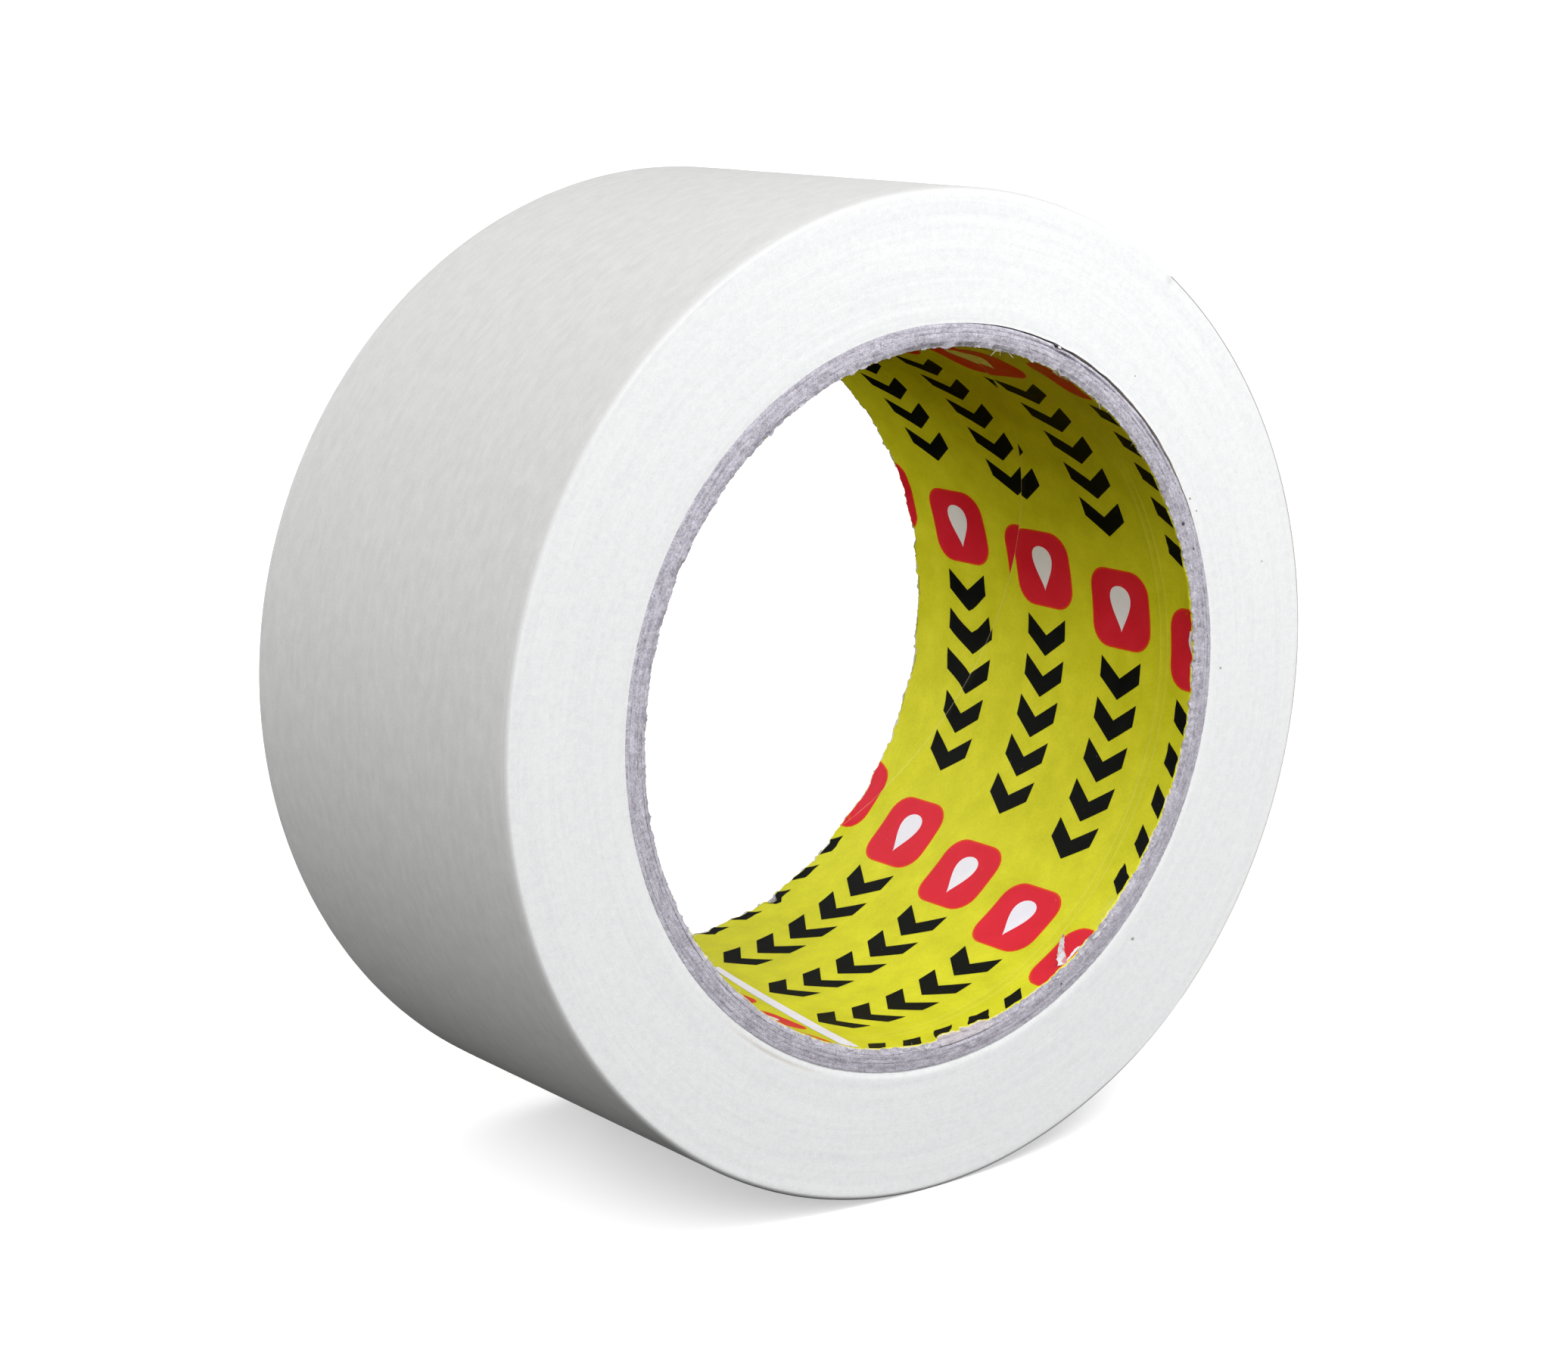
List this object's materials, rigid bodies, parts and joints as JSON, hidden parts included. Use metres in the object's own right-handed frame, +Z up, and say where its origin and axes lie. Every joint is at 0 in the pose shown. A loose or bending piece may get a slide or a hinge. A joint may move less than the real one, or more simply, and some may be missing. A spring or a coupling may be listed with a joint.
{
  "type": "masking tape roll",
  "caption": "Roll of cream crepe-paper masking tape wound on a hollow paperboard core, standing on its rim, with a free end that peels away.",
  "frame": {"origin": "centre of the core's bore, halfway along it", "axes": "+Y along the bore axis, pointing away from the face that the picture shows; +Z up; the roll stands on its rim on a surface at the lowest point in Z"},
  "size_m": [0.11, 0.05, 0.1099],
  "materials": {
    "liner_print": "satin",
    "board": "matte",
    "tape": "matte"
  },
  "bodies": {
    "roll": {"core_liner": "liner_print", "core_ply_1": "board", "core_ply_2": "board", "core_ply_3": "board", "core_ply_4": "board", "core_ply_5": "board", "tape_wound": "tape"},
    "end_01": {"tape_end_01": "tape"},
    "end_02": {"tape_end_02": "tape"},
    "end_03": {"tape_end_03": "tape"},
    "end_04": {"tape_end_04": "tape"},
    "end_05": {"tape_end_05": "tape"},
    "end_06": {"tape_end_06": "tape"},
    "end_07": {"tape_end_07": "tape"},
    "end_08": {"tape_end_08": "tape"},
    "end_09": {"tape_end_09": "tape"},
    "end_10": {"tape_end_10": "tape"}
  },
  "joints": [
    {"name": "peel_01", "type": "hinge", "parent": "roll", "child": "end_01", "pos_m": [0.03751, 0, -0.04022], "axis": [0, 1, 0], "range_deg": [0, 15]},
    {"name": "peel_02", "type": "hinge", "parent": "end_01", "child": "end_02", "pos_m": [0.04392, 0, -0.0331], "axis": [0, 1, 0], "range_deg": [0, 15]},
    {"name": "peel_03", "type": "hinge", "parent": "end_02", "child": "end_03", "pos_m": [0.049, 0, -0.02497], "axis": [0, 1, 0], "range_deg": [0, 15]},
    {"name": "peel_04", "type": "hinge", "parent": "end_03", "child": "end_04", "pos_m": [0.0526, 0, -0.01608], "axis": [0, 1, 0], "range_deg": [0, 15]},
    {"name": "peel_05", "type": "hinge", "parent": "end_04", "child": "end_05", "pos_m": [0.05459, 0, -0.0067], "axis": [0, 1, 0], "range_deg": [0, 15]},
    {"name": "peel_06", "type": "hinge", "parent": "end_05", "child": "end_06", "pos_m": [0.05493, 0, 0.00288], "axis": [0, 1, 0], "range_deg": [0, 15]},
    {"name": "peel_07", "type": "hinge", "parent": "end_06", "child": "end_07", "pos_m": [0.05359, 0, 0.01237], "axis": [0, 1, 0], "range_deg": [0, 15]},
    {"name": "peel_08", "type": "hinge", "parent": "end_07", "child": "end_08", "pos_m": [0.05063, 0, 0.02149], "axis": [0, 1, 0], "range_deg": [0, 15]},
    {"name": "peel_09", "type": "hinge", "parent": "end_08", "child": "end_09", "pos_m": [0.04613, 0, 0.02995], "axis": [0, 1, 0], "range_deg": [0, 15]},
    {"name": "peel_10", "type": "hinge", "parent": "end_09", "child": "end_10", "pos_m": [0.04022, 0, 0.03751], "axis": [0, 1, 0], "range_deg": [0, 15]}
  ],
  "couplings": [
    {"joint": "peel_02", "follows": "peel_01", "ratio": 1},
    {"joint": "peel_03", "follows": "peel_01", "ratio": 1},
    {"joint": "peel_04", "follows": "peel_01", "ratio": 1},
    {"joint": "peel_05", "follows": "peel_01", "ratio": 1},
    {"joint": "peel_06", "follows": "peel_01", "ratio": 1},
    {"joint": "peel_07", "follows": "peel_01", "ratio": 1},
    {"joint": "peel_08", "follows": "peel_01", "ratio": 1},
    {"joint": "peel_09", "follows": "peel_01", "ratio": 1},
    {"joint": "peel_10", "follows": "peel_01", "ratio": 1}
  ]
}
